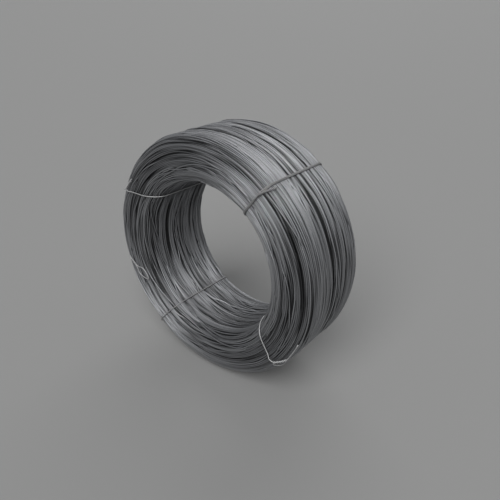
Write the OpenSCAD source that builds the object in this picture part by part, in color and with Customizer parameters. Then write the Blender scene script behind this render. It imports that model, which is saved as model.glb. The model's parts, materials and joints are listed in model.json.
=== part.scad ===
// Coil of wire rod, standing on its rim with its eye level.
// The eye's axis runs along Y, +Z is up, and the rim rests on the ground at the origin.
// The turns lie side by side all round the coil's section, in bundles with gaps between them.
// Wire ties are drawn round the section, where they pinch the turns, and their ends are twisted together.

/* [Rod] */
// Diameter of the rolled rod
rod_d = 5.5; // [5:0.5:8]

/* [Coil] */
// Diameter of the eye inside the turns
eye_d = 620; // [500:10:800]
// Thickness of the turns from the eye to the rim
build_up = 190; // [150:5:260]
// Width from end to end
coil_w = 368; // [300:2:600]
// Rounding of the section beside the rim
rim_round = 58; // [40:1:66]
// Rounding of the section beside the eye
eye_round = 70; // [40:1:80]

/* [Turns] */
// How far a turn sinks where two bundles part
gap_depth = 2.5; // [0:0.5:2.5]
// Turns in a narrow bundle
narrow_bundle = 9; // [6:1:12]
// Turns in a wide bundle
wide_bundle = 16; // [13:1:24]

/* [Ties] */
// Diameter of the tie wire
tie_d = 4; // [3.5:0.25:5]
// Room between a tie and the turns, and between two wires of a tie
tie_gap = 0.3; // [0.2:0.1:0.5]
// Length of the twisted tails
tail_len = 54; // [40:2:70]
// Length of the free end that runs on beyond the tails at the lower right
free_len = 100; // [60:5:140]
// Length of one full twist of the tails
twist_pitch = 22; // [18:1:30]
// How far along the section the wire rises towards its twist
knot_reach = 34; // [28:1:40]

/* [End binding] */
// Length of the eye that lies on the front end
loop_len = 64; // [40:2:90]
// Width of that eye
loop_w = 40; // [24:2:50]

/* [Hidden] */
$fn = 96;

steel = [0.36, 0.37, 0.38];
tie_steel = [0.46, 0.46, 0.47];

eye_r = eye_d / 2;
rim_r = eye_r + build_up;
middle_r = eye_r + build_up / 2;
arc_steps = 12;
run_step = 24;
wire_sides = 8;
stub_len = 3 * tie_d;

// Each tie: degrees round the coil, wires side by side, lean of its plane, arc step of its knot on the
// front corner of the rim, heading and length of its twisted tails, length of the free end beyond them.
// A heading of 0 runs along the coil and 90 along the section, away from the rim.
AT = 0;
WIRES = 1;
LEAN = 2;
KNOT = 3;
HEADING = 4;
TWIST = 5;
FREE = 6;
upper_right = [51.2, 2, 0, 10, 252, tail_len, 0];
upper_left = [149.5, 1, 31, 9, 170, tail_len, stub_len];
lower_left = [235.3, 1, -8, 3, 0, tail_len, stub_len];
lower_right = [322.5, 1, -20, 9, -30, tail_len, free_len];
ties = [upper_right, upper_left, lower_left, lower_right];

// The section is a rectangle with four arcs. Its segments are numbered from the front corner of the rim:
// an even segment is an arc and an odd one a straight run. Corner: centre's radius and height, arc radius.
corners = [
    [rim_r - rim_round, coil_w / 2 - rim_round, rim_round],
    [eye_r + eye_round, coil_w / 2 - eye_round, eye_round],
    [eye_r + eye_round, -coil_w / 2 + eye_round, eye_round],
    [rim_r - rim_round, -coil_w / 2 + rim_round, rim_round],
];
segments = 2 * len(corners);

function is_arc(q) = q % 2 == 0;
function corner(q) = corners[floor(q / 2) % len(corners)];
function facing(q, f) = 90 * floor(q / 2) + (is_arc(q) ? 90 * f : 90);
function out(angle) = [cos(angle), sin(angle)];
function along(angle) = [-sin(angle), cos(angle)];

// Point of the section, moved out by e, at the share f of segment q.
function arc_point(q, f, e) = let(c = corner(q)) [c[0], c[1]] + (c[2] + e) * out(facing(q, f));
function section_point(q, f, e) = is_arc(q)
    ? arc_point(q, f, e)
    : (1 - f) * arc_point(q - 1, 1, e) + f * arc_point(q + 1, 0, e);
function segment_length(q, e) = is_arc(q)
    ? PI / 2 * (corner(q)[2] + e)
    : norm(arc_point(q + 1, 0, e) - arc_point(q - 1, 1, e));
function length_before(q, e) = q == 0 ? 0 : length_before(q - 1, e) + segment_length(q - 1, e);

// Segment and share at a distance s along the section moved out by e.
function locate(s, e, q = 0) = s <= segment_length(q, e) || q == segments - 1
    ? [q, s / segment_length(q, e)]
    : locate(s - segment_length(q, e), e, q + 1);

// Turns of rod round the section.
rod_inset = -rod_d / 2;
turn_path = length_before(segments, rod_inset);
turns = floor(turn_path / rod_d);
turn_step = turn_path / turns;
turn_land = rod_d * tan(22.5);
turn_groove = (rod_d - turn_land) / 2;

function is_gap(k) = k % narrow_bundle == 0 || k % wide_bundle == floor(wide_bundle / 2);
function sink(k) = is_gap(k % turns) ? gap_depth : 0;
function at(s, e) = let(p = locate(s, rod_inset)) section_point(p[0], p[1], e);
function faces(s) = let(p = locate(s, rod_inset)) facing(p[0], p[1]);

// Two ends of a turn's outer land, and the bottom of the groove before the next turn.
function turn_points(k) =
    let(
        s = (k + 0.5) * turn_step,
        top = at(s, -sink(k)),
        side = turn_land / 2 * along(faces(s)),
        deep = max(sink(k), sink(k + 1)) + turn_groove
    )
    [top - side, top + side, at((k + 1) * turn_step, -deep)];

// A tie lies in a channel that its pull has pinched into the turns.
tie_step = tie_d + tie_gap;
pinch_depth = tie_d + 2 * tie_gap;
tie_inset = -(tie_d / 2 + tie_gap);
function channel_w(wires) = wires * tie_step + tie_gap;
function run_steps(q) = is_arc(q) ? arc_steps : ceil(segment_length(q, 0) / run_step);
function station(q, j) = (j + 0.5) / run_steps(q);

// A tie's plane turns by its lean about the middle of the section. A point at the radius r in that plane
// has these x and y from the plane of the tie's angle.
function leaning_x(r, lean) =
    let(t = tan(lean), k = 1 + t * t)
    (t * t * middle_r + sqrt(k * r * r - t * t * middle_r * middle_r)) / k;
function leaning_y(r, lean) = (leaning_x(r, lean) - middle_r) * tan(lean);
function section_outline(e, lean) = [
    for (q = [0 : segments - 1]) for (j = [0 : run_steps(q) - 1])
        let(p = section_point(q, station(q, j), e))
        [middle_r + (leaning_x(p[0], lean) - middle_r) / cos(lean), p[1]]
];

// Stations of a tie: once round the section from its knot and back to it.
function loop_stations(knot) = concat(
    [for (j = [knot : arc_steps - 1]) [0, station(0, j)]],
    [for (q = [1 : segments - 1]) for (j = [0 : run_steps(q) - 1]) [q, station(q, j)]],
    [for (j = [0 : knot]) [0, station(0, j)]]
);

function smooth(x) = let(t = min(1, max(0, x))) t * t * (3 - 2 * t);
function backwards(list) = [for (i = [len(list) - 1 : -1 : 0]) list[i]];
function bend(a, b, c) = [
    for (t = [0.25, 0.5, 0.75]) (1 - t) * (1 - t) * a + 2 * t * (1 - t) * b + t * t * c
];

// Point over the turns: x along the coil from an angle's plane, s along the section, lift over the turns.
function over(x, s, lift) =
    let(q = locate(s, 0), p = section_point(q[0], q[1], lift), turn = x / p[0] * 180 / PI)
    [p[0] * cos(turn), p[0] * sin(turn), p[1]];

// Twisted tails: two wires wound on one axis that follows the turns.
helix_r = tie_d / 2 + tie_gap;
twist_lift = helix_r + tie_d / 2 + tie_gap;
free_lift = tie_d / 2 + tie_gap;
front_reach = twist_lift + helix_r + tie_d / 2;
elbow_len = 3 * tie_d;
knot_flat = 2 * tie_d;
twist_rings = 8;
free_step = 16;

// Point of a tail: the twist's foot [x, s], its heading, the length from the foot, which wire (1 or -1).
function tail_point(foot, heading, length, wire) =
    let(
        turn = 90 + 360 * (length - elbow_len) / twist_pitch,
        side = wire * helix_r * sin(turn),
        x = foot[0] + length * cos(heading) - side * sin(heading),
        s = foot[1] + length * sin(heading) + side * cos(heading)
    )
    over(x, s, twist_lift + wire * helix_r * cos(turn));
function twist(foot, heading, length, wire) =
    let(n = ceil(length / twist_pitch * twist_rings))
    [for (j = [0 : n]) tail_point(foot, heading, elbow_len + length * j / n, wire)];

// Free end beyond a twist: it drops to the turns and runs on along them.
function free_end(foot, heading, length, free) =
    let(
        x = foot[0] + (elbow_len + length) * cos(heading),
        s = foot[1] + (elbow_len + length) * sin(heading),
        run = sign(cos(heading)) * free,
        drop = twist_lift - free_lift,
        n = ceil(free / free_step)
    )
    [for (j = [1 : 1 : n]) over(x + run * j / n, s, twist_lift - drop * smooth(j / 2))];

// Route of a tied wire: up one tail, round the loop and back down the other tail, with the free end last.
function tied_route(loop, foot, heading, length, free) =
    let(
        first = twist(foot, heading, length, 1),
        last = twist(foot, heading, length, -1),
        reach = elbow_len / 3,
        x = foot[0] + reach * cos(heading),
        s = foot[1] + reach * sin(heading),
        side = helix_r * [-sin(heading), cos(heading)]
    )
    concat(
        backwards(first),
        bend(first[0], over(x + side[0], s + side[1], twist_lift), loop[0]),
        loop,
        bend(loop[len(loop) - 1], over(x - side[0], s - side[1], twist_lift), last[0]),
        last,
        free_end(foot, heading, length, free)
    );

// Loop of a tie round the section in its leaning plane. It rises towards its knot, and where two wires
// lie side by side they change place under it.
function knot_lift(d) = (twist_lift - tie_inset) * (1 - smooth((d - knot_flat) / (knot_reach - knot_flat)));
function wire_shift(i, n, wires) = wires == 1 ? 0 : tie_step * (smooth((i - n / 2) / 5 + 0.5) - 0.5);
function tie_loop(tie) =
    let(
        once = loop_stations(tie[KNOT]),
        knot = section_point(0, station(0, tie[KNOT]), 0),
        all = [for (w = [1 : tie[WIRES]]) for (i = [(w == 1 ? 0 : 1) : len(once) - 1]) once[i]],
        n = len(all)
    )
    [
        for (i = [2 : n - 3])
            let(
                q = all[i],
                near_end = min(i, n - 1 - i) < len(once) / 2,
                lift = near_end ? knot_lift(norm(section_point(q[0], q[1], 0) - knot)) : 0,
                p = section_point(q[0], q[1], tie_inset + lift),
                shift = wire_shift(i, n - 1, tie[WIRES])
            )
            [leaning_x(p[0], tie[LEAN]), leaning_y(p[0], tie[LEAN]) + shift / cos(tie[LEAN]), p[1]]
    ];
function tie_foot(tie) =
    let(f = station(0, tie[KNOT]), p = section_point(0, f, 0))
    [p[0] * asin(leaning_y(p[0], tie[LEAN]) / p[0]) * PI / 180, segment_length(0, 0) * f];
function tie_route(tie) = tied_route(tie_loop(tie), tie_foot(tie), tie[HEADING], tie[TWIST], tie[FREE]);

// Binding of the rod's end: an eye that lies on the front end, with its tails twisted towards the rim.
binding_at = 201;
binding_heading = 214;
binding_foot = [0, length_before(1, 0) + segment_length(1, 0) / 2];
function binding_point(t) =
    let(
        far = loop_len / 2 * (1 + cos(t)) + tie_d,
        wide = loop_w / 2 * sin(t) * (1 - 0.35 * cos(t)),
        x = binding_foot[0] - far * cos(binding_heading) - wide * sin(binding_heading),
        s = binding_foot[1] - far * sin(binding_heading) + wide * cos(binding_heading)
    )
    over(x, s, twist_lift - (twist_lift - free_lift) * smooth(far / knot_reach));
binding_loop = [for (t = [150 : -12.5 : -150]) binding_point(t)];

// Swept wire along a list of points.
function unit(v) = v / norm(v);
function heading_at(p, i) = unit(p[min(i + 1, len(p) - 1)] - p[max(i - 1, 0)]);
function square_to(v, t) = unit(v - (v * t) * t);
function carried(p, i, v) = i == len(p)
    ? []
    : let(u = square_to(v, heading_at(p, i))) concat([u], carried(p, i + 1, u));

module wire(route, d) {
    n = len(route);
    sides = carried(route, 0, square_to([0.3, 0.5, 0.8], heading_at(route, 0)));
    points = [
        for (i = [0 : n - 1])
            let(u = sides[i], v = cross(heading_at(route, i), u))
            for (j = [0 : wire_sides - 1])
                let(a = 360 * j / wire_sides)
                route[i] + d / 2 * (cos(a) * u + sin(a) * v)
    ];
    skin = [
        for (i = [0 : n - 2]) for (j = [0 : wire_sides - 1])
            let(a = i * wire_sides + j, b = i * wire_sides + (j + 1) % wire_sides)
            each [[a, a + wire_sides, b], [b, a + wire_sides, b + wire_sides]]
    ];
    caps = [
        [for (j = [0 : wire_sides - 1]) j],
        [for (j = [wire_sides - 1 : -1 : 0]) (n - 1) * wire_sides + j],
    ];
    polyhedron(points, concat(skin, caps));
}

// Stands the turned shapes up: the turning axis becomes Y, the rim rests on the ground, and the tails in
// front count in the width whose middle is at the origin.
module stood() {
    translate([0, front_reach / 2, rim_r]) rotate([90, 0, 0]) children();
}

module tie_channel(tie) {
    clear = pinch_depth + rod_d;
    rotate([0, 0, tie[AT]]) translate([middle_r, 0, 0]) rotate([0, 0, tie[LEAN]]) translate([-middle_r, 0, 0])
        rotate([90, 0, 0]) linear_extrude(channel_w(tie[WIRES]), center = true) difference() {
            polygon(section_outline(clear, tie[LEAN]));
            polygon(section_outline(-pinch_depth, tie[LEAN]));
        }
}

module rod_coil() {
    color(steel) stood() difference() {
        rotate_extrude() polygon([for (k = [0 : turns - 1]) each turn_points(k)]);
        for (tie = ties) tie_channel(tie);
    }
}

module tie_wire(tie) {
    color(tie_steel) stood() rotate([0, 0, tie[AT]]) wire(tie_route(tie), tie_d);
}

module end_binding() {
    route = tied_route(binding_loop, binding_foot, binding_heading, tail_len, 0);
    color(tie_steel) stood() rotate([0, 0, binding_at]) wire(route, tie_d);
}

rod_coil();
tie_wire(upper_right);  // tie_upper_right
tie_wire(upper_left);  // tie_upper_left
tie_wire(lower_left);  // tie_lower_left
tie_wire(lower_right);  // tie_lower_right
end_binding();
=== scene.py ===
"""Coil of wire rod: turns of rolled rod laid in bundles round an open eye, held by twisted wire ties."""

import json
import logging
import math
from dataclasses import dataclass, field
from enum import Enum

import bpy
import numpy as np
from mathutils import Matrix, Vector


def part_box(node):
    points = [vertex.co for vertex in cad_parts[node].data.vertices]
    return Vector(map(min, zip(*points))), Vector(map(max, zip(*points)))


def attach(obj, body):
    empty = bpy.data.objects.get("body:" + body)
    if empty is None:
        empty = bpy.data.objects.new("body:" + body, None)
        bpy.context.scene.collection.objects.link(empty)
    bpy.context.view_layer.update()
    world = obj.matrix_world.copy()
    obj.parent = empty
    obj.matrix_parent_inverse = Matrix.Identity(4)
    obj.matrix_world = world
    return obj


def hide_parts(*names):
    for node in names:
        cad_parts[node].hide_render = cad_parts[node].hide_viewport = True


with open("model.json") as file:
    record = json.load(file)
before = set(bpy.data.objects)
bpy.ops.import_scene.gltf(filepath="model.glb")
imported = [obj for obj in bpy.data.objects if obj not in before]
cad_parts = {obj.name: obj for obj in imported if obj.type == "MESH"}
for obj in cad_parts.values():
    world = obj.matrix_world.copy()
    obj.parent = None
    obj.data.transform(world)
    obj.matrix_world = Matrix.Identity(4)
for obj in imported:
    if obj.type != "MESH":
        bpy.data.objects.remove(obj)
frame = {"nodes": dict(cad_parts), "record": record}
LOG = logging.getLogger("coil")
MM = 0.001
TINY = 1e-6
# Room for one turn of the outer layer, in rods.
OUTER_SPACING = 1.24

Pair = tuple[float, float]
Triple = tuple[float, float, float]


class Layer(Enum):
    """Layers of turns, from the ones that cross on top to the ones deep in the coil."""

    CROSSING = "crossing"
    OUTER = "outer"
    UNDER = "under"
    DEEP = "deep"


class TieLight(Enum):
    """Paler and darker copies of one tie wire: painted light for ties that catch the light, painted
    shade for ties whose shaded side shows.
    """

    LIT = "tie_wire_bright"
    DULL = "tie_wire_dull"


@dataclass(frozen=True)
class Section:
    """Section of the coil through its axis: a rectangle with rounded corners, in millimetres.

    A point is a pair: distance from the eye's axis, and distance towards the front end.

    Args:
        rim_r: Radius of the rim.
        eye_r: Radius of the eye.
        width: Distance between the two ends.
        rim_round: Radius of the rim's corners.
        eye_round: Radius of the eye's corners.
        samples: Points on each corner.
    """

    rim_r: float
    eye_r: float
    width: float
    rim_round: float = 58.0
    eye_round: float = 70.0
    samples: int = 240

    def outline(self, inset: float) -> np.ndarray:
        """Points once round the section, starting at the front corner of the rim.

        Args:
            inset: Distance inside the outer line.

        Returns:
            Closed array of points, first point repeated at the end.
        """
        half = self.width / 2
        outer, inner = self.rim_r - self.rim_round, self.eye_r + self.eye_round
        corners = (
            (outer, half - self.rim_round, self.rim_round),
            (inner, half - self.eye_round, self.eye_round),
            (inner, self.eye_round - half, self.eye_round),
            (outer, self.rim_round - half, self.rim_round),
        )
        points = []
        for number, (centre, height, radius) in enumerate(corners):
            angle = math.pi / 2 * (number + np.linspace(0, 1, self.samples))
            arc = np.stack([np.cos(angle), np.sin(angle)], axis=1) * (radius - inset)
            points.append(arc + (centre, height))
        points.append(points[0][:1])
        return np.concatenate(points)

    def length(self, inset: float) -> float:
        """Distance once round the section at an inset."""
        return float(np.linalg.norm(np.diff(self.outline(inset), axis=0), axis=1).sum())

    def place(self, lie: np.ndarray, inset: float) -> np.ndarray:
        """Points at distances along the outline.

        Args:
            lie: Distances along the outline at this inset.
            inset: Distance inside the outer line.

        Returns:
            Array of points with one more axis than lie.
        """
        line = self.outline(inset)
        run = np.concatenate([[0], np.cumsum(np.linalg.norm(np.diff(line, axis=0), axis=1))])
        along = np.mod(lie, run[-1])
        return np.stack([np.interp(along, run, line[:, axis]) for axis in (0, 1)], axis=-1)

    def depth(self, points: np.ndarray) -> tuple[np.ndarray, np.ndarray]:
        """How far points lie inside the outer line, and the way out.

        Args:
            points: Points of the section.

        Returns:
            Depths, and unit vectors towards the nearest stretch of the outer line.
        """
        middle = (self.rim_r + self.eye_r) / 2
        side = points - (middle, 0.0)
        radius = np.where(side[..., 0] > 0, self.rim_round, self.eye_round)
        half = np.array([(self.rim_r - self.eye_r) / 2, self.width / 2])
        over = np.abs(side) - half + radius[..., None]
        reach = np.maximum(over, 0)
        far = np.linalg.norm(reach, axis=-1)
        flat = np.minimum(np.max(over, axis=-1), 0)
        axis_way = np.where((over[..., :1] > over[..., 1:]), (1.0, 0.0), (0.0, 1.0))
        corner_way = reach / np.maximum(far, TINY)[..., None]
        way = np.where((far > TINY)[..., None], corner_way, axis_way)
        return radius - far - flat, way * np.where(side < 0, -1.0, 1.0)


@dataclass
class Wire:
    """One layer of the rod: a continuous wire that works its way round the section turn by turn.

    Args:
        turns: Number of turns.
        length: Distance round the section at the layer's depth, in millimetres.
        lie: Place of each point along that distance, by turn and station.
        points: Points of the section, by turn and station.
    """

    turns: int
    length: float
    lie: np.ndarray
    points: np.ndarray

    @property
    def share(self) -> np.ndarray:
        """Place of each point as a share of the way round the section."""
        return self.lie / self.length


def soft_noise(rng: np.random.Generator, count: int, reach: float) -> np.ndarray:
    """Smooth noise along a closed wire.

    Args:
        rng: Seeded source of random numbers.
        count: Number of stations along the wire.
        reach: Stations over which the noise stays alike.

    Returns:
        Values with a spread of one.
    """
    wave = np.fft.rfft(rng.standard_normal(count))
    wave *= np.exp(-0.5 * (np.fft.rfftfreq(count) * 2 * math.pi * reach) ** 2)
    values = np.fft.irfft(wave, count)
    return values / values.std()


@dataclass(frozen=True)
class Tie:
    """Where a tie lies: its angle round the coil and the lean of its plane, in degrees."""

    at: float
    lean: float = 0.0


@dataclass(frozen=True)
class Slit:
    """An opening between two bundles, in which the turns beside it sink.

    Args:
        place: Share of the way round the section.
        angle: Angle of its middle round the coil, in degrees.
        reach: Half its length in degrees.
        opening: Its width in millimetres.
        valley: How far the turns sink beside it, in millimetres.
        valley_w: How far beside it they still sink, in millimetres.
        give: How far beside the shortest slit the turns give way, in millimetres.
        give_more: How much further they give way for each degree of reach.
    """

    place: float
    angle: float
    reach: float
    opening: float
    valley: float
    valley_w: float = 9.0
    give: float = 10.0
    give_more: float = 0.35

    @property
    def spread(self) -> float:
        """How far beside it the turns give way, in millimetres."""
        return self.give + self.give_more * self.reach


@dataclass(frozen=True)
class SlitSpread:
    """Slits spread over the coil at random: how many, and the least and greatest of their sizes."""

    count: int
    reach: Pair
    opening: Pair
    valley: Pair


@dataclass(frozen=True)
class LayerPlan:
    """How one layer of turns is laid, settled and meshed.

    Args:
        layer: The layer.
        depth: How deep its turns are laid, in rods.
        spacing: Room for one turn, in rods.
        shift: Sideways spread of its bundles in millimetres, or 0 where it has none.
        wander: Sideways spread of a single turn, in millimetres.
        wander_reach: Stations over which a turn's wandering stays alike.
        parting: Share of a slit's opening that its turns follow.
        sink: How far it sinks in each round of settling, in millimetres.
        pieces: Number of pieces that its mesh is split into.
        sides: Sides of its rod.
        turns: Number of turns where they are too few to cover the section.
    """

    layer: Layer
    depth: float
    spacing: float
    shift: float
    wander: float
    wander_reach: float
    parting: float
    sink: float
    pieces: int
    sides: int
    turns: int = 0


@dataclass
class RodCoil:
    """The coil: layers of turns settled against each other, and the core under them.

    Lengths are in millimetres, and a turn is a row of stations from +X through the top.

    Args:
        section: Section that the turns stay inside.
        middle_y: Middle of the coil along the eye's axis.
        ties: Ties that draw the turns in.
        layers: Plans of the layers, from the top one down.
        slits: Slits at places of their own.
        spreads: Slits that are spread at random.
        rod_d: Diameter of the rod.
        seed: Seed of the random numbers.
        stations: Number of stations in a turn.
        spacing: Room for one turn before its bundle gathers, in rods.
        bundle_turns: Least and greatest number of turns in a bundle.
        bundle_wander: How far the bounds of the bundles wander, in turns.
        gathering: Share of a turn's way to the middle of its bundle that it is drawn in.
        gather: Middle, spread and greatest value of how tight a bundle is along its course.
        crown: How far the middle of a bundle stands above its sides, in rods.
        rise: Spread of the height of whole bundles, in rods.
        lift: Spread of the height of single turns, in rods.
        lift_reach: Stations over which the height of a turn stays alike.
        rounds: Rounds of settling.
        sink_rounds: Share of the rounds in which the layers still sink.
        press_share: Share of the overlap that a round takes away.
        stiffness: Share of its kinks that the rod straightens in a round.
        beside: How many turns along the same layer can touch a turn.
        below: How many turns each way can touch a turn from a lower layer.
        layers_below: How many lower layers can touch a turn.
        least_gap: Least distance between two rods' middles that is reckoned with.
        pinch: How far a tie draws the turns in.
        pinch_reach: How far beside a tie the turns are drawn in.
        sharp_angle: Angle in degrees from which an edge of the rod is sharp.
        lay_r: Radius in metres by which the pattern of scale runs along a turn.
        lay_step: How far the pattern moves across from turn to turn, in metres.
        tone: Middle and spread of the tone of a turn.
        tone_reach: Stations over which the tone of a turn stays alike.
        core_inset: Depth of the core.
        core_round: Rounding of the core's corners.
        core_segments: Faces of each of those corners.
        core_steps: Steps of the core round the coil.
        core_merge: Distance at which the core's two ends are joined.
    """

    section: Section
    middle_y: float
    ties: tuple[Tie, ...]
    layers: tuple[LayerPlan, ...]
    slits: tuple[Slit, ...]
    spreads: tuple[SlitSpread, ...]
    rod_d: float = 5.5
    seed: int = 41
    stations: int = 120
    spacing: float = OUTER_SPACING
    bundle_turns: Pair = (2, 6.5)
    bundle_wander: float = 1.6
    gathering: float = 0.24
    gather: Triple = (0.6, 0.35, 1.1)
    crown: float = 0.45
    rise: float = 0.2
    lift: float = 0.22
    lift_reach: float = 10.0
    rounds: int = 140
    sink_rounds: float = 0.8
    press_share: float = 0.55
    stiffness: float = 0.12
    beside: int = 5
    below: int = 4
    layers_below: int = 2
    least_gap: float = 1e-4
    pinch: float = 4.8
    pinch_reach: float = 34.0
    sharp_angle: float = 75.0
    lay_r: float = 0.42
    lay_step: float = 0.37
    tone: Pair = (0.5, 0.15)
    tone_reach: float = 60.0
    core_inset: float = 25.0
    core_round: float = 46.0
    core_segments: int = 6
    core_steps: int = 96
    core_merge: float = 0.02
    wires: dict[Layer, Wire] = field(default_factory=dict)

    def angles(self) -> np.ndarray:
        """Angles of the stations round the coil, from +X through the top."""
        return 2 * math.pi * np.arange(self.stations) / self.stations

    def open_slits(self, rng: np.random.Generator) -> list[Slit]:
        """Spreads slits all over the coil, besides those at places of their own.

        Args:
            rng: Seeded source of random numbers.

        Returns:
            All the slits.
        """
        slits = list(self.slits)
        for spread in self.spreads:
            for number in range(spread.count):
                place = (number + rng.uniform(0, 1)) / spread.count
                reach = rng.uniform(*spread.reach)
                opening = rng.uniform(*spread.opening)
                valley = rng.uniform(*spread.valley)
                slits.append(Slit(place, rng.uniform(0, 360), reach, opening, valley))
        return slits

    def part(self, slits: list[Slit], share: np.ndarray, length: float) -> tuple[np.ndarray, np.ndarray]:
        """Sideways shift and sinking of the turns beside the slits.

        Args:
            slits: The slits.
            share: Place of each point as a share of the way round the section.
            length: Distance round the section.

        Returns:
            Shift and sinking of each point in millimetres.
        """
        shift, sunk = np.zeros_like(share), np.zeros_like(share)
        theta = np.degrees(self.angles())[None, :]
        for slit in slits:
            away = ((share - slit.place + 0.5) % 1 - 0.5) * length
            turn = (theta - slit.angle + 180) % 360 - 180
            lens = np.clip(1 - (turn / slit.reach) ** 2, 0, None)
            shift += 0.5 * slit.opening * np.sign(away) * lens * np.exp(-np.abs(away) / slit.spread)
            sunk = np.maximum(sunk, slit.valley * np.sqrt(lens) * np.exp(-(away / slit.valley_w) ** 2))
        return shift, sunk

    def bundle(
        self, rng: np.random.Generator, share: np.ndarray, turns: int, size: float
    ) -> tuple[np.ndarray, np.ndarray]:
        """Sideways shift and lift that the turns of one bundle have in common.

        Turns pass from bundle to bundle along the coil, and a bundle gathers and spreads.

        Args:
            rng: Seeded source of random numbers.
            share: Place of each point as a share of the way round the section.
            turns: Turns in the layer.
            size: Spread of the shift in millimetres.

        Returns:
            Shift and lift of each point in millimetres.
        """
        edges = np.concatenate([[0], np.cumsum(rng.uniform(*self.bundle_turns, turns)) / turns])
        edges = edges[edges < 1]
        widths = np.diff(np.append(edges, 1))
        middles = edges + widths / 2
        course = self.courses(rng, len(edges), orders=5, fall=1.0)
        rise = self.courses(rng, len(edges), orders=5, fall=1.0)
        middle, spread, most = self.gather
        gather = np.clip(middle + spread * self.courses(rng, len(edges), orders=6, fall=0.4), 0, most)
        wander = self.bundle_wander / turns * self.courses(rng, 1, orders=4, fall=1.0)
        place = (share + wander) % 1
        number = np.searchsorted(edges, place, side="right") - 1
        columns = np.broadcast_to(np.arange(self.stations)[None, :], share.shape)
        away = place - middles[number]
        pull = self.gathering * turns * self.rod_d * self.spacing * gather[number, columns]
        # The crown is a parabola across the bundle whose mean height is zero.
        crown = self.crown * (1 / 3 - 4 * (away / widths[number]) ** 2)
        shift = size * course[number, columns] - pull * away
        return shift, self.rod_d * (self.rise * rise[number, columns] + crown)

    def courses(self, rng: np.random.Generator, count: int, orders: int, fall: float) -> np.ndarray:
        """Random smooth courses once round the coil.

        Args:
            rng: Seeded source of random numbers.
            count: Number of courses.
            orders: Highest number of waves in a round.
            fall: How fast higher orders grow weaker.

        Returns:
            Array of courses by stations, with a spread of one.
        """
        order = np.repeat(np.arange(1, orders + 1), 2)
        phase = order[:, None] * self.angles()
        second = np.arange(2 * orders)[:, None] % 2
        waves = np.where(second, np.sin(phase), np.cos(phase))
        course = (rng.standard_normal((count, 2 * orders)) / order ** fall) @ waves
        return course / course.std()

    def wind(self) -> None:
        """Lays every layer on its nominal line, with its bundles, slits and wandering."""
        rng = np.random.default_rng(self.seed)
        slits = self.open_slits(rng)
        for plan in self.layers:
            inset = plan.depth * self.rod_d
            length = self.section.length(inset)
            turns = plan.turns or int(length / (self.rod_d * plan.spacing))
            count, shape = turns * self.stations, (turns, self.stations)
            nominal = np.arange(count).reshape(shape) * length / count
            lie = nominal + plan.wander * soft_noise(rng, count, plan.wander_reach).reshape(shape)
            lift = self.lift * self.rod_d * soft_noise(rng, count, self.lift_reach).reshape(shape)
            if plan.shift:
                shift, rise = self.bundle(rng, nominal / length, turns, plan.shift)
                lie, lift = lie + shift, lift + rise
            shift, sunk = self.part(slits, lie / length, length)
            lie, lift = lie + plan.parting * shift, lift - sunk
            points = self.section.place(lie, inset)
            _, way = self.section.depth(points)
            self.wires[plan.layer] = Wire(turns, length, lie, points + way * lift[..., None])

    def contacts(self, a: Wire, b: Wire, offset: int) -> np.ndarray:
        """Turn of wire b that lies near each point of wire a.

        Args:
            a: Wire whose points are looked at.
            b: Wire that is searched.
            offset: How many turns further along to look.

        Returns:
            Turn numbers, in the shape of a's points.
        """
        station = np.arange(self.stations)[None, :] / self.stations
        return (np.rint(a.share * b.turns - station).astype(int) + offset) % b.turns

    def overlap(self, a: np.ndarray, b: np.ndarray) -> np.ndarray:
        """Half the overlap of pairs of rods.

        Args:
            a: Middles of the first rods.
            b: Middles of the second rods.

        Returns:
            Shifts from a towards b.
        """
        gap = b - a
        far = np.maximum(np.linalg.norm(gap, axis=-1, keepdims=True), self.least_gap)
        return gap / far * 0.5 * np.clip(self.rod_d - far, 0, None)

    def press(self) -> None:
        """Pushes apart every two turns that overlap, once."""
        station = np.arange(self.stations)[None, :]
        moves = {layer: np.zeros_like(wire.points) for layer, wire in self.wires.items()}
        order = list(self.wires)
        for number, upper in enumerate(order):
            a = self.wires[upper]
            for offset in range(1, self.beside + 1):
                push = self.overlap(a.points, np.roll(a.points, -offset, axis=0))
                moves[upper] -= push
                moves[upper] += np.roll(push, offset, axis=0)
            for lower in order[number + 1:number + 1 + self.layers_below]:
                b = self.wires[lower]
                for offset in range(-self.below, self.below + 1):
                    turn = self.contacts(a, b, offset)
                    column = np.broadcast_to(station, turn.shape)
                    push = self.overlap(a.points, b.points[turn, column])
                    moves[upper] -= push
                    np.add.at(moves[lower], (turn, column), push)
        for layer, wire in self.wires.items():
            wire.points = wire.points + self.press_share * moves[layer]

    def pinched(self, points: np.ndarray) -> np.ndarray:
        """How far the ties draw the turns in at each point.

        Args:
            points: Points of a wire's turns.

        Returns:
            Draw in millimetres.
        """
        theta = self.angles()[None, :]
        middle = (self.section.rim_r + self.section.eye_r) / 2
        draw = np.zeros(points.shape[:-1])
        for tie in self.ties:
            turn = theta - math.radians(tie.at)
            lean = math.radians(tie.lean)
            out = points[..., 0] * np.cos(turn) - middle
            aside = points[..., 0] * np.sin(turn) * math.cos(lean) - out * math.sin(lean)
            pull = self.pinch * np.exp(-(aside / self.pinch_reach) ** 2)
            draw = np.maximum(draw, np.where(np.cos(turn) > 0, pull, 0))
        return draw

    def straighten(self, points: np.ndarray) -> np.ndarray:
        """Takes some of the kinks out of a wire.

        Args:
            points: Points of the wire by turn and station.

        Returns:
            Smoother points.
        """
        line = points.reshape(-1, 2)
        near = np.roll(line, 1, axis=0) + np.roll(line, -1, axis=0)
        far = np.roll(line, 2, axis=0) + np.roll(line, -2, axis=0)
        # The fourth difference of the line is largest at its kinks.
        line = line - self.stiffness * (6 * line - 4 * near + far) / 16
        return line.reshape(points.shape)

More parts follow.
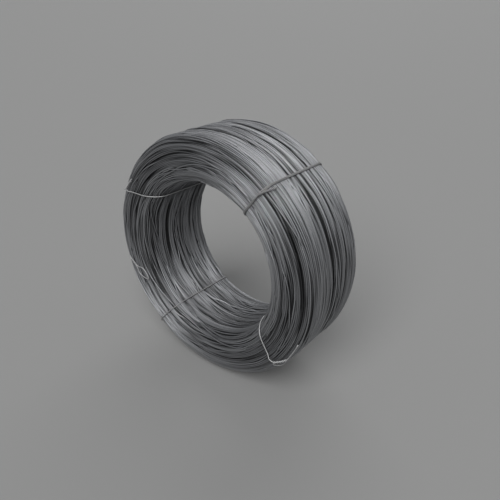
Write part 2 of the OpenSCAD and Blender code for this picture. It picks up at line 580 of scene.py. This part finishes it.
    def settle(self) -> None:
        """Lets the layers sink onto each other, kept smooth, inside the outer line and over the core."""
        for number in range(self.rounds):
            if number <= self.rounds * self.sink_rounds:
                for plan in self.layers:
                    wire = self.wires[plan.layer]
                    _, way = self.section.depth(wire.points)
                    wire.points = wire.points - plan.sink * way
            self.press()
            for wire in self.wires.values():
                points = self.straighten(wire.points)
                depth, way = self.section.depth(points)
                least = self.rod_d / 2 + self.pinched(points)
                short = np.clip(least - depth, 0, None) - np.clip(depth - self.core_inset, 0, None)
                wire.points = points - way * short[..., None]

    def tube(
        self, name: str, wire: Wire, first: int, last: int, sides: int, rng: np.random.Generator
    ) -> bpy.types.Object:
        """Mesh of a run of turns.

        Args:
            name: Name of the piece.
            wire: Wire that the turns belong to.
            first: First turn.
            last: Turn after the last one.
            sides: Sides of the rod.
            rng: Seeded source of random numbers.

        Returns:
            The new object, with its lay, tone and depth as attributes.
        """
        count = self.stations
        step = np.arange(first * count, last * count + 1)
        line = wire.points.reshape(-1, 2)[step % (wire.turns * count)]
        theta = 2 * math.pi * (step % count) / count
        around = 2 * math.pi * np.arange(sides) / sides
        ring = 0.5 * self.rod_d * np.stack([np.cos(around), np.sin(around)], axis=1)
        rho = line[:, None, 0] + ring[None, :, 0]
        front = line[:, None, 1] + ring[None, :, 1]
        places = np.stack(
            [
                rho * np.cos(theta)[:, None],
                self.middle_y - front,
                self.section.rim_r + rho * np.sin(theta)[:, None],
            ],
            axis=-1,
        ).reshape(-1, 3) * MM
        rings = len(step)
        row = np.arange(rings - 1)[:, None] * sides
        here = row + np.arange(sides)[None, :]
        beside = row + (np.arange(sides)[None, :] + 1) % sides
        quads = np.stack([here, beside, beside + sides, here + sides], axis=-1).reshape(-1, 4)
        caps = [np.arange(sides)[::-1], (rings - 1) * sides + np.arange(sides)]
        piece = mesh_from_arrays(name, places, quads, caps)
        shade_smooth(piece, self.sharp_angle)
        lay = np.zeros((rings, sides, 3))
        lay[..., 0] = (step * 2 * math.pi / count * self.lay_r)[:, None]
        lay[..., 1:] = ring[None, :, :] * MM
        lay[..., 2] += np.floor(step / count)[:, None] * self.lay_step
        middle, spread = self.tone
        tone = middle + spread * soft_noise(rng, rings, self.tone_reach)
        depth, _ = self.section.depth(line)
        give_attribute(piece, "lay", "FLOAT_VECTOR", "vector", lay)
        give_attribute(piece, "tone", "FLOAT", "value", np.repeat(tone, sides))
        give_attribute(piece, "deep", "FLOAT", "value", np.repeat(depth / self.rod_d, sides))
        return piece

    def core(self) -> bpy.types.Object:
        """Packed turns deep in the coil, as one ring spun from the section.

        Returns:
            The new piece.
        """
        line = self.section.outline(self.core_inset) * MM
        low, high = line.min(axis=0), line.max(axis=0)
        deselect()
        bpy.ops.mesh.primitive_plane_add(size=1, location=(0, 0, 0))
        piece = bpy.context.object
        piece.name = piece.data.name = "coil_core"
        bpy.ops.object.mode_set(mode="EDIT")
        bpy.ops.mesh.select_all(action="SELECT")
        bpy.ops.transform.resize(value=(high[0] - low[0], high[1] - low[1], 1))
        bpy.ops.transform.translate(value=((high[0] + low[0]) / 2, 0, 0))
        bpy.ops.mesh.bevel(offset=self.core_round * MM, segments=self.core_segments, affect="VERTICES")
        bpy.ops.mesh.delete(type="ONLY_FACE")
        bpy.ops.mesh.select_all(action="SELECT")
        bpy.ops.mesh.spin(steps=self.core_steps, angle=2 * math.pi, center=(0, 0, 0), axis=(0, 1, 0))
        bpy.ops.mesh.select_all(action="SELECT")
        bpy.ops.mesh.remove_doubles(threshold=self.core_merge * MM)
        bpy.ops.mesh.normals_make_consistent(inside=False)
        bpy.ops.transform.translate(value=(0, self.middle_y * MM, self.section.rim_r * MM))
        bpy.ops.object.mode_set(mode="OBJECT")
        settle_origin(piece)
        return piece

    def build(self) -> list[bpy.types.Object]:
        """Winds and settles the turns and makes their meshes.

        Returns:
            The coil's pieces.
        """
        self.wind()
        self.settle()
        rng = np.random.default_rng(self.seed + 1)
        pieces = []
        for plan in self.layers:
            wire = self.wires[plan.layer]
            bounds = np.linspace(0, wire.turns, plan.pieces + 1).astype(int)
            for number, (first, last) in enumerate(zip(bounds, bounds[1:]), start=1):
                name = f"turns_{plan.layer.value}_{number}"
                pieces.append(self.tube(name, wire, first, last, plan.sides, rng))
        pieces.append(self.core())
        return pieces


def mesh_from_arrays(
    name: str, places: np.ndarray, quads: np.ndarray, caps: list[np.ndarray]
) -> bpy.types.Object:
    """Object from arrays of corners and faces.

    Args:
        name: Name of the object.
        places: Corners in metres.
        quads: Corner numbers of the four-sided faces.
        caps: Corner numbers of the end faces.

    Returns:
        The new object, linked to the scene.
    """
    mesh = bpy.data.meshes.new(name)
    corners = np.concatenate([quads.ravel(), *caps])
    totals = np.concatenate([np.full(len(quads), 4), [len(cap) for cap in caps]])
    starts = np.concatenate([[0], np.cumsum(totals)[:-1]])
    mesh.vertices.add(len(places))
    mesh.vertices.foreach_set("co", places.astype(np.float32).ravel())
    mesh.loops.add(len(corners))
    mesh.loops.foreach_set("vertex_index", corners.astype(np.int32))
    mesh.polygons.add(len(totals))
    mesh.polygons.foreach_set("loop_start", starts.astype(np.int32))
    mesh.polygons.foreach_set("loop_total", totals.astype(np.int32))
    mesh.update(calc_edges=True)
    mesh.validate()
    piece = bpy.data.objects.new(name, mesh)
    bpy.context.scene.collection.objects.link(piece)
    return piece


def give_attribute(piece: bpy.types.Object, name: str, kind: str, key: str, values: np.ndarray) -> None:
    """Stores values on a piece's corners."""
    attribute = piece.data.attributes.new(name, kind, "POINT")
    attribute.data.foreach_set(key, values.astype(np.float32).ravel())


def deselect() -> None:
    """Leaves edit mode and deselects everything."""
    if bpy.context.object and bpy.context.object.mode != "OBJECT":
        bpy.ops.object.mode_set(mode="OBJECT")
    bpy.ops.object.select_all(action="DESELECT")


def select_only(piece: bpy.types.Object) -> None:
    """Selects one piece and nothing else.

    Args:
        piece: Piece that the next operators act on.
    """
    deselect()
    piece.select_set(True)
    bpy.context.view_layer.objects.active = piece


def shade_smooth(piece: bpy.types.Object, angle: float) -> None:
    """Shades a piece smooth, with sharp edges where faces meet at more than an angle in degrees."""
    select_only(piece)
    bpy.ops.object.shade_smooth_by_angle(angle=math.radians(angle))


def settle_origin(piece: bpy.types.Object) -> None:
    """Puts a piece's place, turn and size into its mesh."""
    select_only(piece)
    bpy.ops.object.transform_apply(location=True, rotation=True, scale=True)


@dataclass
class WireTie:
    """A tie: one wire drawn round the section, its ends twisted together.

    Args:
        node: Solid that the tie is made from.
        sharp_angle: Angle in degrees from which an edge of the wire is sharp.
        join_angle: Greatest bend in degrees at which two triangles become one face.
        merge: Distance in millimetres at which corners are joined.
    """

    node: str
    sharp_angle: float = 60.0
    join_angle: float = 60.0
    merge: float = 0.01

    def build(self) -> bpy.types.Object:
        """Rounds a copy of the tie's solid into a drawn wire.

        Returns:
            The new piece.
        """
        piece = bpy.data.objects.new(f"wire_{self.node}", frame["nodes"][self.node].data.copy())
        bpy.context.scene.collection.objects.link(piece)
        piece.data.materials.clear()
        select_only(piece)
        bend = math.radians(self.join_angle)
        bpy.ops.object.mode_set(mode="EDIT")
        bpy.ops.mesh.select_all(action="SELECT")
        bpy.ops.mesh.remove_doubles(threshold=self.merge * MM)
        bpy.ops.mesh.tris_convert_to_quads(face_threshold=bend, shape_threshold=bend)
        bpy.ops.mesh.normals_make_consistent(inside=False)
        bpy.ops.object.mode_set(mode="OBJECT")
        shade_smooth(piece, self.sharp_angle)
        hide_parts(self.node)
        return piece


def add_node(tree: bpy.types.NodeTree, kind: str, **settings: object) -> bpy.types.Node:
    """Adds a node and sets its properties.

    Args:
        tree: Tree that takes the node.
        kind: Blender's node type.
        **settings: Properties by name, and input values by socket name with spaces as underscores.

    Returns:
        The new node.
    """
    node = tree.nodes.new(kind)
    for label, value in settings.items():
        if hasattr(node, label):
            setattr(node, label, value)
        else:
            node.inputs[label.replace("_", " ")].default_value = value
    return node


@dataclass(frozen=True)
class RolledScale:
    """Streaks and flecks of rolled scale that run along a rod, as a group that every finish here uses.

    Args:
        streaks: How close the streaks lie, where a finish says nothing else.
        flecks: How close the flecks lie, where a finish says nothing else.
        streak_way: Scale of the streaks along the rod and across it.
        fleck_way: Scale of the flecks along the rod and across it.
        fleck_share: Share that the flecks have in the shade.
    """

    streaks: float = 40.0
    flecks: float = 900.0
    streak_way: Triple = (0.05, 4.0, 4.0)
    fleck_way: Triple = (0.25, 1.0, 1.0)
    fleck_share: float = 0.45

    def sockets(self) -> bpy.types.NodeTree:
        """Makes the group with its inputs and outputs.

        Returns:
            Node tree without nodes.
        """
        tree = bpy.data.node_groups.new("rolled_scale", "ShaderNodeTree")
        tree.interface.new_socket("Lay", in_out="INPUT", socket_type="NodeSocketVector")
        for label, value in (("Stretch", self.streaks), ("Fleck", self.flecks)):
            socket = tree.interface.new_socket(label, in_out="INPUT", socket_type="NodeSocketFloat")
            socket.default_value = value
        for label in ("Shade", "Gloss", "Height"):
            tree.interface.new_socket(label, in_out="OUTPUT", socket_type="NodeSocketFloat")
        return tree

    def group(self) -> bpy.types.NodeTree:
        """Makes the whole group.

        Returns:
            Group with a shade, a gloss mask and a height.
        """
        tree = self.sockets()
        link = tree.links.new
        source = add_node(tree, "NodeGroupInput")
        target = add_node(tree, "NodeGroupOutput")
        streak = add_node(tree, "ShaderNodeTexNoise", Detail=4.0, Roughness=0.6)
        fleck = add_node(tree, "ShaderNodeTexNoise", Detail=3.0, Roughness=0.55)
        wiring = ((streak, self.streak_way, "Stretch"), (fleck, self.fleck_way, "Fleck"))
        for noise, way, closeness in wiring:
            stretch = add_node(tree, "ShaderNodeMapping", vector_type="POINT", Scale=way)
            link(source.outputs["Lay"], stretch.inputs["Vector"])
            link(stretch.outputs["Vector"], noise.inputs["Vector"])
            link(source.outputs[closeness], noise.inputs["Scale"])
        both = add_node(tree, "ShaderNodeMix", data_type="FLOAT", Factor=self.fleck_share)
        link(streak.outputs["Fac"], both.inputs["A"])
        link(fleck.outputs["Fac"], both.inputs["B"])
        link(both.outputs["Result"], target.inputs["Shade"])
        link(streak.outputs["Fac"], target.inputs["Gloss"])
        link(fleck.outputs["Fac"], target.inputs["Height"])
        return tree


@dataclass
class SteelNodes:
    """Nodes of a steel material that its own finish goes on from."""

    material: bpy.types.Material
    shader: bpy.types.Node
    scale: bpy.types.Node
    colour: bpy.types.Node


@dataclass(frozen=True)
class SteelFinish:
    """Steel in two shades, with streaks of scale in its gloss and flecks in its relief.

    Args:
        name: Name of the material.
        dark: Colour of the darkest scale.
        pale: Colour of the palest scale.
        roughness: Roughness of the glossiest and of the dullest streaks.
        metallic: How far the surface reflects as bare metal.
        bump: Strength of the flecks' relief.
        bump_height: Height of the flecks in millimetres.
        streaks: How close the streaks lie.
    """

    name: str
    dark: Triple
    pale: Triple
    roughness: Pair
    metallic: float
    bump: float
    bump_height: float
    streaks: float

    def steel(self, scale_group: bpy.types.NodeTree) -> SteelNodes:
        """Makes the part of the material that all the steel has in common.

        Args:
            scale_group: Group that gives the streaks of scale.

        Returns:
            The new material, its shader, its scale and the mix of its two shades.
        """
        material = bpy.data.materials.new(self.name)
        material.use_nodes = True
        tree = material.node_tree
        link = tree.links.new
        shader = tree.nodes["Principled BSDF"]
        shader.inputs["Metallic"].default_value = self.metallic
        scale = add_node(tree, "ShaderNodeGroup", node_tree=scale_group, Stretch=self.streaks)
        colour = add_node(tree, "ShaderNodeMix", data_type="RGBA", clamp_factor=True)
        colour.inputs["A"].default_value = (*self.dark, 1)
        colour.inputs["B"].default_value = (*self.pale, 1)
        glossy, dull = self.roughness
        gloss = add_node(tree, "ShaderNodeMapRange", To_Min=glossy, To_Max=dull)
        link(scale.outputs["Gloss"], gloss.inputs["Value"])
        link(gloss.outputs["Result"], shader.inputs["Roughness"])
        bump = add_node(tree, "ShaderNodeBump", Strength=self.bump, Distance=self.bump_height * MM)
        link(scale.outputs["Height"], bump.inputs["Height"])
        link(bump.outputs["Normal"], shader.inputs["Normal"])
        return SteelNodes(material, shader, scale, colour)


@dataclass(frozen=True)
class RodFinish(SteelFinish):
    """Hot-rolled rod: grey scale whose tone changes from turn to turn, with painted shade that darkens
    it deep between the turns.

    Args:
        painted_shade: Colour of the painted shade deep between the turns.
        dark_depth: Depths in rods at which the painted shade starts and is thickest.
        dark_most: Share of the colour that the thickest painted shade takes.
        scale_share: Weight of the streaks in the tone.
        tone_drop: What is taken from the tone of a turn, so that both together stay in the middle.
    """

    painted_shade: Triple
    dark_depth: Pair
    dark_most: float
    scale_share: float
    tone_drop: float

    def material(self, scale_group: bpy.types.NodeTree) -> bpy.types.Material:
        """Makes the material.

        Args:
            scale_group: Group that gives the streaks of scale.

        Returns:
            The new material.
        """
        steel = self.steel(scale_group)
        tree = steel.material.node_tree
        link = tree.links.new
        lay = add_node(tree, "ShaderNodeAttribute", attribute_name="lay")
        tone = add_node(tree, "ShaderNodeAttribute", attribute_name="tone")
        deep = add_node(tree, "ShaderNodeAttribute", attribute_name="deep")
        link(lay.outputs["Vector"], steel.scale.inputs["Lay"])
        lower = add_node(tree, "ShaderNodeMath", operation="SUBTRACT")
        lower.inputs[1].default_value = self.tone_drop
        link(tone.outputs["Fac"], lower.inputs[0])
        blend = add_node(tree, "ShaderNodeMath", operation="MULTIPLY_ADD")
        blend.inputs[1].default_value = self.scale_share
        link(steel.scale.outputs["Shade"], blend.inputs[0])
        link(lower.outputs[0], blend.inputs[2])
        link(blend.outputs[0], steel.colour.inputs["Factor"])
        # Painted shade: the base colour is darkened towards near black with depth below the outer line,
        # standing in for the shade between the turns.
        start, end = self.dark_depth
        shade = add_node(tree, "ShaderNodeMapRange", From_Min=start, From_Max=end, To_Max=self.dark_most)
        link(deep.outputs["Fac"], shade.inputs["Value"])
        shaded_colour = add_node(tree, "ShaderNodeMix", data_type="RGBA", clamp_factor=True)
        shaded_colour.inputs["B"].default_value = (*self.painted_shade, 1)
        link(shade.outputs["Result"], shaded_colour.inputs["Factor"])
        link(steel.colour.outputs["Result"], shaded_colour.inputs["A"])
        link(shaded_colour.outputs["Result"], steel.shader.inputs["Base Color"])
        return steel.material


@dataclass(frozen=True)
class TieFinish(SteelFinish):
    """Drawn tie wire: grey, with dull patches."""

    def material(self, scale_group: bpy.types.NodeTree) -> bpy.types.Material:
        """Makes the material.

        Args:
            scale_group: Group that gives the streaks of scale.

        Returns:
            The new material.
        """
        steel = self.steel(scale_group)
        tree = steel.material.node_tree
        place = add_node(tree, "ShaderNodeTexCoord")
        tree.links.new(place.outputs["Object"], steel.scale.inputs["Lay"])
        tree.links.new(steel.scale.outputs["Shade"], steel.colour.inputs["Factor"])
        tree.links.new(steel.colour.outputs["Result"], steel.shader.inputs["Base Color"])
        return steel.material


@dataclass(frozen=True)
class Lamp:
    """A lamp far away: its name, its strength and the way that its light goes."""

    name: str
    energy: float
    way: Triple


@dataclass
class Studio:
    """Pale floor, a wide soft lamp in front, a weak one behind, a plain sky and the camera.

    Args:
        floor_r: Radius of the floor in metres.
        floor_sides: Sides of the floor.
        floor_drop: How far the floor lies under the coil, in metres.
        floor_colour: Colour of the floor.
        floor_roughness: Roughness of the floor.
        floor_shine: How much the floor mirrors.
        lamps: The lamps.
        lamp_angle: Width of each lamp in degrees, as it is seen from the coil.
        lamp_height: Height in metres at which the lamps are kept.
        sky: Strength of the sky at its horizon and overhead.
        sky_tint: Colour of the sky.
        eye: Place of the camera in metres.
        forward: Way that the camera looks.
        focal: Focal length in pixels.
        frame_px: Width of the picture in pixels.
        sensor: Width of the camera's sensor in millimetres.
    """

    lamps: tuple[Lamp, ...]
    floor_r: float = 90.0
    floor_sides: int = 96
    floor_drop: float = 0.0005
    floor_colour: Triple = (0.265, 0.265, 0.262)
    floor_roughness: float = 0.9
    floor_shine: float = 0.1
    lamp_angle: float = 50.0
    lamp_height: float = 4.0
    sky: Pair = (0.21, 0.26)
    sky_tint: Triple = (0.95, 0.97, 1.0)
    eye: Triple = (1.24529, -1.39278, 1.44785)
    forward: Triple = (-0.56389696, 0.68812817, -0.45661783)
    focal: float = 509.0
    frame_px: float = 500.0
    sensor: float = 36.0

    def floor(self) -> None:
        """Lays the floor as a wide disc."""
        deselect()
        bpy.ops.mesh.primitive_circle_add(
            vertices=self.floor_sides,
            radius=self.floor_r,
            fill_type="NGON",
            location=(0, 0, -self.floor_drop),
        )
        ground = bpy.context.object
        ground.name = "floor"
        settle_origin(ground)
        material = bpy.data.materials.new("floor_grey")
        material.use_nodes = True
        shader = material.node_tree.nodes["Principled BSDF"]
        shader.inputs["Base Color"].default_value = (*self.floor_colour, 1)
        shader.inputs["Roughness"].default_value = self.floor_roughness
        shader.inputs["Specular IOR Level"].default_value = self.floor_shine
        ground.data.materials.append(material)

    def light(self) -> None:
        """Lights the scene with its lamps and a sky that is brightest overhead."""
        for lamp in self.lamps:
            sun = bpy.data.lights.new(lamp.name, "SUN")
            sun.energy = lamp.energy
            sun.angle = math.radians(self.lamp_angle)
            holder = bpy.data.objects.new(lamp.name, sun)
            holder.location = (0, 0, self.lamp_height)
            holder.rotation_euler = Vector(lamp.way).to_track_quat("-Z", "Y").to_euler()
            bpy.context.scene.collection.objects.link(holder)
        world = bpy.data.worlds.new("sky")
        world.use_nodes = True
        tree = world.node_tree
        sky = tree.nodes["Background"]
        sky.inputs["Color"].default_value = (*self.sky_tint, 1)
        way = add_node(tree, "ShaderNodeTexCoord")
        height = add_node(tree, "ShaderNodeSeparateXYZ")
        horizon, overhead = self.sky
        level = add_node(tree, "ShaderNodeMapRange", To_Min=horizon, To_Max=overhead)
        tree.links.new(way.outputs["Generated"], height.inputs["Vector"])
        tree.links.new(height.outputs["Z"], level.inputs["Value"])
        tree.links.new(level.outputs["Result"], sky.inputs["Strength"])
        bpy.context.scene.world = world

    def camera(self) -> None:
        """Stands the camera where the picture was taken from."""
        lens = bpy.data.cameras.new("camera")
        lens.sensor_width = self.sensor
        lens.lens = self.focal / self.frame_px * lens.sensor_width
        holder = bpy.data.objects.new("camera", lens)
        holder.location = self.eye
        holder.rotation_euler = Vector(self.forward).to_track_quat("-Z", "Y").to_euler()
        bpy.context.scene.collection.objects.link(holder)
        bpy.context.scene.camera = holder

    def build(self) -> None:
        """Sets up the whole studio."""
        self.floor()
        self.light()
        self.camera()
        bpy.context.scene.view_settings.view_transform = "Standard"


LAYERS = (
    LayerPlan(
        Layer.CROSSING, depth=0.5, spacing=0.0, shift=0.0, wander=22.0, wander_reach=9.0, parting=0.0,
        sink=0.06, pieces=1, sides=8, turns=22,
    ),
    LayerPlan(
        Layer.OUTER, depth=0.85, spacing=OUTER_SPACING, shift=2.5, wander=0.9, wander_reach=10.0,
        parting=1.0, sink=0.03, pieces=2, sides=8,
    ),
    LayerPlan(
        Layer.UNDER, depth=1.8, spacing=1.1, shift=3.0, wander=1.6, wander_reach=8.0, parting=0.7,
        sink=0.02, pieces=2, sides=6,
    ),
    LayerPlan(
        Layer.DEEP, depth=2.75, spacing=1.02, shift=0.0, wander=1.0, wander_reach=8.0, parting=0.3,
        sink=0.0, pieces=2, sides=5,
    ),
)
# The widest slits: place, angle, reach, opening and valley of each.
SEEN_SLITS = (
    Slit(0.882, 16.0, 42.0, 18.0, 10.0),
    Slit(0.80, 72.0, 32.0, 8.0, 6.0),
    Slit(0.93, 100.0, 34.0, 7.0, 5.0),
    Slit(0.05, 14.0, 32.0, 12.0, 6.0),
    Slit(0.088, 358.0, 26.0, 8.0, 4.0),
    Slit(0.845, 338.0, 26.0, 12.0, 8.0),
    Slit(0.012, 350.0, 26.0, 10.0, 5.0),
    Slit(0.795, 345.0, 28.0, 12.0, 8.0),
    Slit(0.225, 172.0, 30.0, 9.0, 5.0),
    Slit(0.30, 176.0, 30.0, 11.0, 6.0),
    Slit(0.345, 196.0, 30.0, 9.0, 5.0),
)
SPREAD_SLITS = (
    SlitSpread(count=90, reach=(20, 60), opening=(2, 6), valley=(0.5, 4)),
    SlitSpread(count=130, reach=(6, 18), opening=(4, 8), valley=(0.5, 3)),
)
ROD = RodFinish(
    name="rolled_rod",
    dark=(0.175, 0.178, 0.186),
    pale=(0.41, 0.416, 0.43),
    roughness=(0.4, 0.52),
    metallic=0.94,
    bump=0.15,
    bump_height=0.4,
    streaks=40.0,
    # Near-black painted shade deep between the turns.
    painted_shade=(0.009, 0.009, 0.009),
    dark_depth=(1.25, 1.95),
    dark_most=0.84,
    scale_share=0.9,
    tone_drop=0.45,
)
# Two copies of one tie wire: a paler one as painted light and a darker one as painted shade.
TIE_WIRES = {
    TieLight.LIT: TieFinish(
        name=TieLight.LIT.value,
        dark=(0.25, 0.25, 0.252),
        pale=(0.52, 0.52, 0.52),
        roughness=(0.4, 0.6),
        metallic=0.4,
        bump=0.2,
        bump_height=0.3,
        streaks=60.0,
    ),
    TieLight.DULL: TieFinish(
        name=TieLight.DULL.value,
        dark=(0.165, 0.165, 0.167),
        pale=(0.37, 0.37, 0.37),
        roughness=(0.42, 0.62),
        metallic=0.4,
        bump=0.2,
        bump_height=0.3,
        streaks=60.0,
    ),
}
TIES = {
    "tie_upper_right": Tie(51.2),
    "tie_upper_left": Tie(149.5, 31.0),
    "tie_lower_left": Tie(235.3, -8.0),
    "tie_lower_right": Tie(322.5, -20.0),
}
# Which copy each tie gets: the paler one where the tie catches the light, the darker one where its shade
# shows.
TIE_LIGHT = {
    "tie_upper_right": TieLight.DULL,
    "tie_upper_left": TieLight.LIT,
    "tie_lower_left": TieLight.DULL,
    "tie_lower_right": TieLight.LIT,
    "end_binding": TieLight.LIT,
}
LAMPS = (
    Lamp("front_sun", 2.95, (-0.3, 0.64, -0.71)),
    Lamp("back_sun", 0.9, (0.4, -0.7, -0.6)),
)


def main() -> None:
    """Builds the coil, its ties and the studio, and reports each piece."""
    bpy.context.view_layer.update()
    low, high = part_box("rod_coil")
    eye = next(mount for mount in frame["record"]["mounts"] if mount["name"] == "eye")
    section = Section(
        rim_r=(high[2] - low[2]) / 2 / MM,
        eye_r=eye["dims"]["r_mm"],
        width=(high[1] - low[1]) / MM,
    )
    middle_y = (high[1] + low[1]) / 2 / MM
    scale_group = RolledScale().group()
    rod_steel = ROD.material(scale_group)
    tie_steel = {tie_lighting: finish.material(scale_group) for tie_lighting, finish in TIE_WIRES.items()}
    coil = RodCoil(section, middle_y, tuple(TIES.values()), LAYERS, SEEN_SLITS, SPREAD_SLITS)
    for piece in coil.build():
        piece.data.materials.append(rod_steel)
        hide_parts("rod_coil")
        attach(piece, "root")
        LOG.info("%s has %d faces", piece.name, len(piece.data.polygons))
    for node, tie_lighting in TIE_LIGHT.items():
        piece = WireTie(node).build()
        piece.data.materials.append(tie_steel[tie_lighting])
        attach(piece, "root")
        LOG.info("%s has %d faces", piece.name, len(piece.data.polygons))
    Studio(LAMPS).build()


if __name__ == "__main__":
    logging.basicConfig(level=logging.INFO)
    main()
